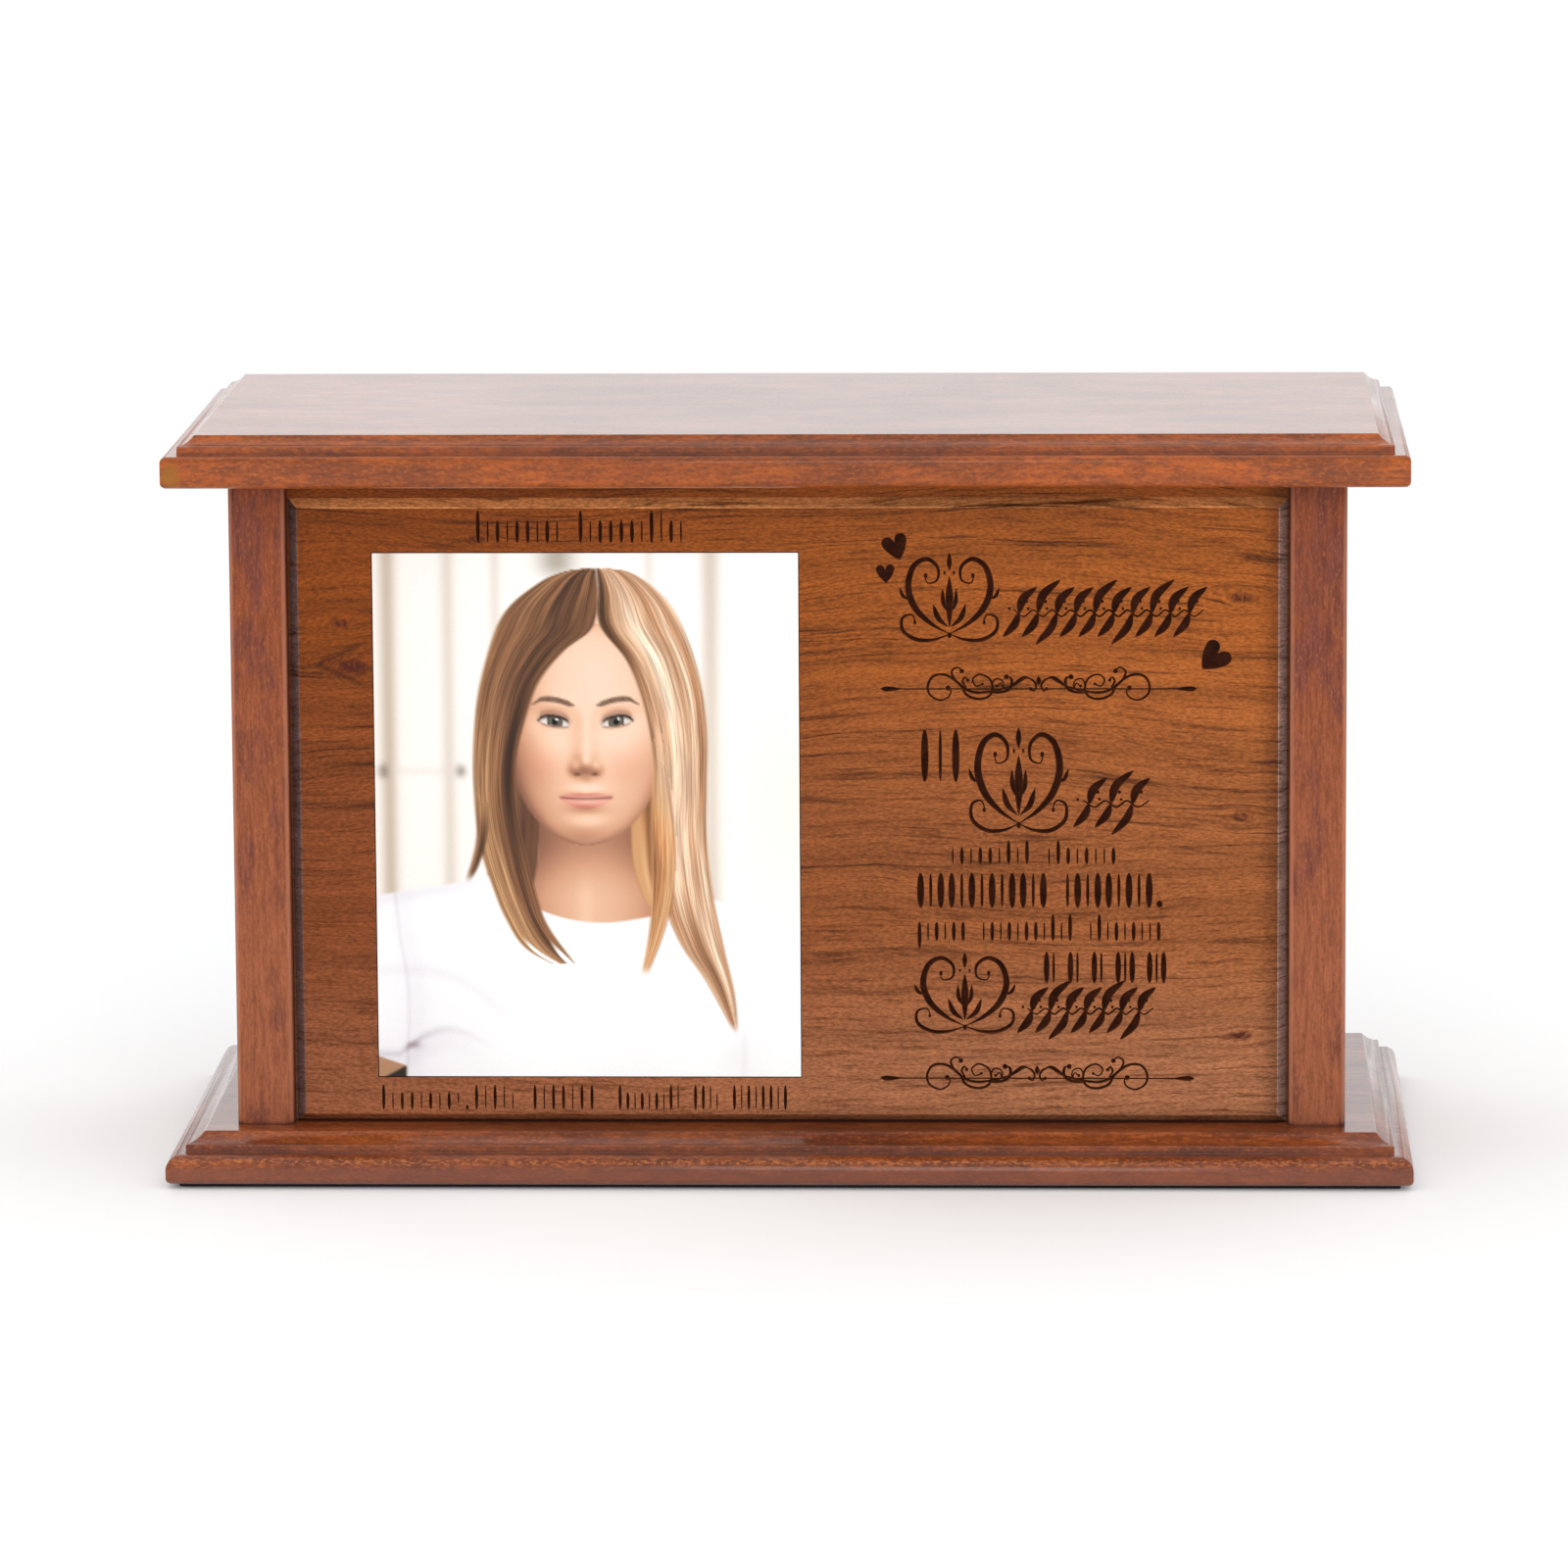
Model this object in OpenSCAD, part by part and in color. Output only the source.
// Cremation urn box: a moulded base board, four L-section corner posts, four raised
// panels glued into the posts' rabbets, an inlaid picture plate and a lift-off lid.
// Millimetres. Front is -Y, +Z is up, and the origin is under the middle of the felt.

/* [Body] */
// Width across the outer faces of the corner posts
body_w = 266; // [220:1:330]
// Depth across the outer faces of the corner posts
body_d = 108; // [80:1:160]
// Height of the posts and panels between base board and lid
wall_h = 156; // [154:1:200]

/* [Corner posts] */
// Width of each visible face of a corner post
post_w = 13.5; // [11:0.5:20]
// Thickness of each leg of the post's L section
post_leg = 5.4; // [4:0.1:7]
// Radius on the post's visible upright arrises
post_arris_r = 1.4; // [0.4:0.1:2]

/* [Panels] */
// Thickness of the tongue that runs behind the post legs
tongue_t = 4; // [3:0.1:5]
// Height of the raised field above the tongue
field_raise = 2.4; // [1:0.1:2.6]
// Width of the bevel round the raised field
bevel_w = 2; // [1:0.1:4]
// Clearance between the foot of the bevel and the posts
bevel_gap = 0.5; // [0.2:0.1:1]
// Height of bare tongue between the bevel and the lid
top_margin = 4.7; // [2:0.1:8]
// Glue clearance at the ends of the tongues
glue_gap = 0.2; // [0.1:0.1:0.4]

/* [Picture plate] */
// Width of the picture plate, a 4 inch print
plate_w = 101.6; // [80:0.1:125]
// Height of the picture plate, a 5 inch print
plate_h = 127; // [90:0.1:127]
// Thickness of the picture plate
plate_t = 0.8; // [0.5:0.1:1.5]
// Distance from the field's left edge to the plate
plate_from_left = 18; // [10:0.5:25]
// Distance from the field's top edge down to the plate
plate_from_top = 11; // [8:0.5:12]
// Clearance round the plate in its recess
plate_gap = 0.25; // [0.1:0.05:0.5]

/* [Base board] */
// How far the base board stands out beyond the posts
base_overhang = 16; // [14:0.5:24]
// Thickness of the base board
base_t = 11.5; // [9:0.5:16]
// Width of the cove in the base moulding
base_cove_w = 4.2; // [3:0.1:5]
// Drop of the cove in the base moulding
base_cove_drop = 2.6; // [1.5:0.1:3]
// Step out from the fillet to the base's widest line
base_step = 4.5; // [4:0.1:6]
// Radius of the rounded nose above the base's edge
base_nose_r = 3.5; // [2:0.1:3.5]

/* [Lid] */
// How far the lid stands out beyond the posts
lid_overhang = 14.5; // [12:0.5:22]
// Thickness of the lid board
lid_t = 12; // [10:0.5:16]
// Width of the cove in the lid moulding
lid_cove_w = 3.8; // [3:0.1:5]
// Drop of the cove in the lid moulding
lid_cove_drop = 2.4; // [1.5:0.1:3]
// Step out from the fillet to the lid's widest line
lid_step = 3.7; // [3:0.1:5]
// Radius of the lid's upper outer arris
lid_nose_r = 1.4; // [0.5:0.1:2.5]
// Thickness of the plate under the lid that drops between the panels
locator_t = 4; // [2:0.5:8]
// Clearance round that locating plate
locator_gap = 0.5; // [0.3:0.1:1]

/* [Mouldings and felt] */
// Height of the fillet below each cove
fillet_h = 2; // [1:0.1:2.5]
// Slope of each cove at its foot, in degrees
cove_slope = 8; // [0:1:12]
// Radius of the lower outer arris of both boards
lower_arris_r = 1.5; // [0.5:0.1:2]
// Thickness of the felt under the base board
felt_t = 1; // [0.5:0.1:3]
// How far the felt stays inside the base board's edge
felt_inset = 3; // [2:0.5:8]

/* [Hidden] */
$fn = 64;
over = 1;

// Levels: the deck is the base board's top, the rim is the lid's underside
deck_z = felt_t + base_t;
rim_z = deck_z + wall_h;

// Plan sizes of the two boards, whose halves are whole hundredths of a millimetre
base_w = even_hundredths(body_w + 2 * base_overhang);
base_d = even_hundredths(body_d + 2 * base_overhang);
lid_w = even_hundredths(body_w + 2 * lid_overhang);
lid_d = even_hundredths(body_d + 2 * lid_overhang);

// Inside faces of the box, behind the panels' tongues
inside_w = body_w - 2 * (post_leg + tongue_t);
inside_d = body_d - 2 * (post_leg + tongue_t);

// Bevel foot of each panel, between two posts
front_foot_w = body_w - 2 * (post_w + bevel_gap);
side_foot_w = body_d - 2 * (post_w + bevel_gap);
// Tongue lengths: the front and back panels run past the side panels
front_tongue_w = body_w - 2 * (post_leg + glue_gap);
side_tongue_w = inside_d - 2 * glue_gap;

// Front field and the centre of the picture plate on it
field_left = -front_foot_w / 2 + bevel_w;
field_top = rim_z - top_margin - bevel_w;
field_y = -body_d / 2 + post_leg - field_raise;
plate_x = field_left + plate_from_left + plate_w / 2;
plate_z = field_top - plate_from_top - plate_h / 2;

post_color = [0.50, 0.22, 0.12];
board_color = [0.55, 0.25, 0.13];
panel_color = [0.52, 0.29, 0.13];
felt_color = [0.09, 0.09, 0.12];
plate_color = [0.93, 0.89, 0.84];

// Size rounded to an even number of hundredths, so that arcs and flats of a section still meet
function even_hundredths(size) = round(size * 50) / 50;

// Radius of an arc that spans w across and drop down and ends at the slope cove_slope
function cove_r(w, drop) = norm([w, drop]) / (2 * sin(atan2(drop, w) - cove_slope));

// Square with its corner at the origin and rounded corners
module rounded_square(size, r) {
    translate([r, 0]) square([size - 2 * r, size]);
    translate([0, r]) square([size, size - 2 * r]);
    for (x = [r, size - r], y = [r, size - r])
        translate([x, y]) circle(r);
}

// Quarter disc in the quadrant that x_side and y_side point into
module quarter_disc(r, x_side, y_side) {
    intersection() {
        circle(r);
        translate([x_side > 0 ? 0 : -r, y_side > 0 ? 0 : -r]) square(r);
    }
}

// Upright section of a board's edge slab, centred on x, with its lower and upper arrises rounded
module slab_section(w, h, low_r, high_r) {
    translate([-w / 2, low_r]) square([w, h - low_r - high_r]);
    translate([-w / 2 + low_r, 0]) square([w - 2 * low_r, low_r]);
    translate([-w / 2 + high_r, h - high_r]) square([w - 2 * high_r, high_r]);
    for (side = [-1, 1]) {
        translate([side * (w / 2 - low_r), low_r]) quarter_disc(low_r, side, -1);
        translate([side * (w / 2 - high_r), h - high_r]) quarter_disc(high_r, side, 1);
    }
}

// Upright section right across a moulded board: edge slab, fillet and cove
module board_section(w, t, cove_w, cove_drop, step, nose_r) {
    r = cove_r(cove_w, cove_drop);
    fillet_x = w / 2 - step;
    slab_section(w, t - cove_drop - fillet_h, lower_arris_r, nose_r);
    difference() {
        translate([-fillet_x, lower_arris_r]) square([2 * fillet_x, t - lower_arris_r]);
        for (side = [-1, 1])
            translate([side * (fillet_x + r * sin(cove_slope)), t - cove_drop + r * cos(cove_slope)])
                circle(r);
    }
}

// Board with the same moulding on all four edges, mitred at its corners
module moulded_board(w, d, t, cove_w, cove_drop, step, nose_r) {
    intersection() {
        rotate([90, 0, 0])
            linear_extrude(d + over, center = true)
                board_section(w, t, cove_w, cove_drop, step, nose_r);
        rotate([90, 0, 90])
            linear_extrude(w + over, center = true)
                board_section(d, t, cove_w, cove_drop, step, nose_r);
    }
}

// Upright panel facing -Y: a flat tongue whose back is at y = 0, and a bevelled field before it
module raised_panel(tongue_w, foot_w) {
    foot_h = wall_h - top_margin;
    front_y = -tongue_t - field_raise;
    translate([-tongue_w / 2, -tongue_t, 0]) cube([tongue_w, tongue_t, wall_h]);
    intersection() {
        linear_extrude(foot_h)
            polygon([
                [-foot_w / 2, -tongue_t], [-foot_w / 2 + bevel_w, front_y],
                [foot_w / 2 - bevel_w, front_y], [foot_w / 2, -tongue_t]
            ]);
        rotate([90, 0, 90])
            linear_extrude(foot_w, center = true)
                polygon([
                    [-tongue_t, 0], [front_y, bevel_w],
                    [front_y, foot_h - bevel_w], [-tongue_t, foot_h]
                ]);
    }
}

// Corner post standing on the deck, x_side and y_side telling which corner
module post(x_side, y_side) {
    color(post_color)
        translate([x_side * body_w / 2, y_side * body_d / 2, deck_z])
            mirror([x_side > 0 ? 1 : 0, 0, 0])
                mirror([0, y_side > 0 ? 1 : 0, 0])
                    linear_extrude(wall_h)
                        difference() {
                            rounded_square(post_w, post_arris_r);
                            translate([post_leg, post_leg]) square(post_w);
                        }
}

module felt_pad() {
    color(felt_color)
        translate([0, 0, felt_t / 2])
            cube([base_w - 2 * felt_inset, base_d - 2 * felt_inset, felt_t], center = true);
}

module base_board() {
    color(board_color)
        translate([0, 0, felt_t])
            moulded_board(base_w, base_d, base_t, base_cove_w, base_cove_drop, base_step, base_nose_r);
}

// The front panel has a shallow recess for the picture plate
module front_panel() {
    recess_w = plate_w + 2 * plate_gap;
    recess_h = plate_h + 2 * plate_gap;
    color(panel_color)
        difference() {
            translate([0, -inside_d / 2, deck_z]) raised_panel(front_tongue_w, front_foot_w);
            translate([plate_x - recess_w / 2, field_y + plate_t - 2 * over, plate_z - recess_h / 2])
                cube([recess_w, 2 * over, recess_h]);
        }
}

module back_panel() {
    color(panel_color)
        translate([0, inside_d / 2, deck_z])
            rotate([0, 0, 180]) raised_panel(front_tongue_w, front_foot_w);
}

// Side panel between the front and back panels, side -1 for the left and 1 for the right
module side_panel(side) {
    color(panel_color)
        translate([side * inside_w / 2, 0, deck_z])
            rotate([0, 0, side * 90]) raised_panel(side_tongue_w, side_foot_w);
}

module picture_plate() {
    color(plate_color)
        translate([plate_x - plate_w / 2, field_y, plate_z - plate_h / 2])
            cube([plate_w, plate_t, plate_h]);
}

// The lid rests on the posts and panels, and its locating plate drops between the panels
module lid() {
    locator_w = inside_w - 2 * locator_gap;
    locator_d = inside_d - 2 * locator_gap;
    color(board_color) {
        translate([0, 0, rim_z])
            moulded_board(lid_w, lid_d, lid_t, lid_cove_w, lid_cove_drop, lid_step, lid_nose_r);
        translate([-locator_w / 2, -locator_d / 2, rim_z - locator_t])
            cube([locator_w, locator_d, locator_t + over]);
    }
}

felt_pad();
base_board();
post(-1, -1);  // post_front_left
post(1, -1);  // post_front_right
post(-1, 1);  // post_back_left
post(1, 1);  // post_back_right
front_panel();
back_panel();
side_panel(-1);  // left_panel
side_panel(1);  // right_panel
picture_plate();
lid();
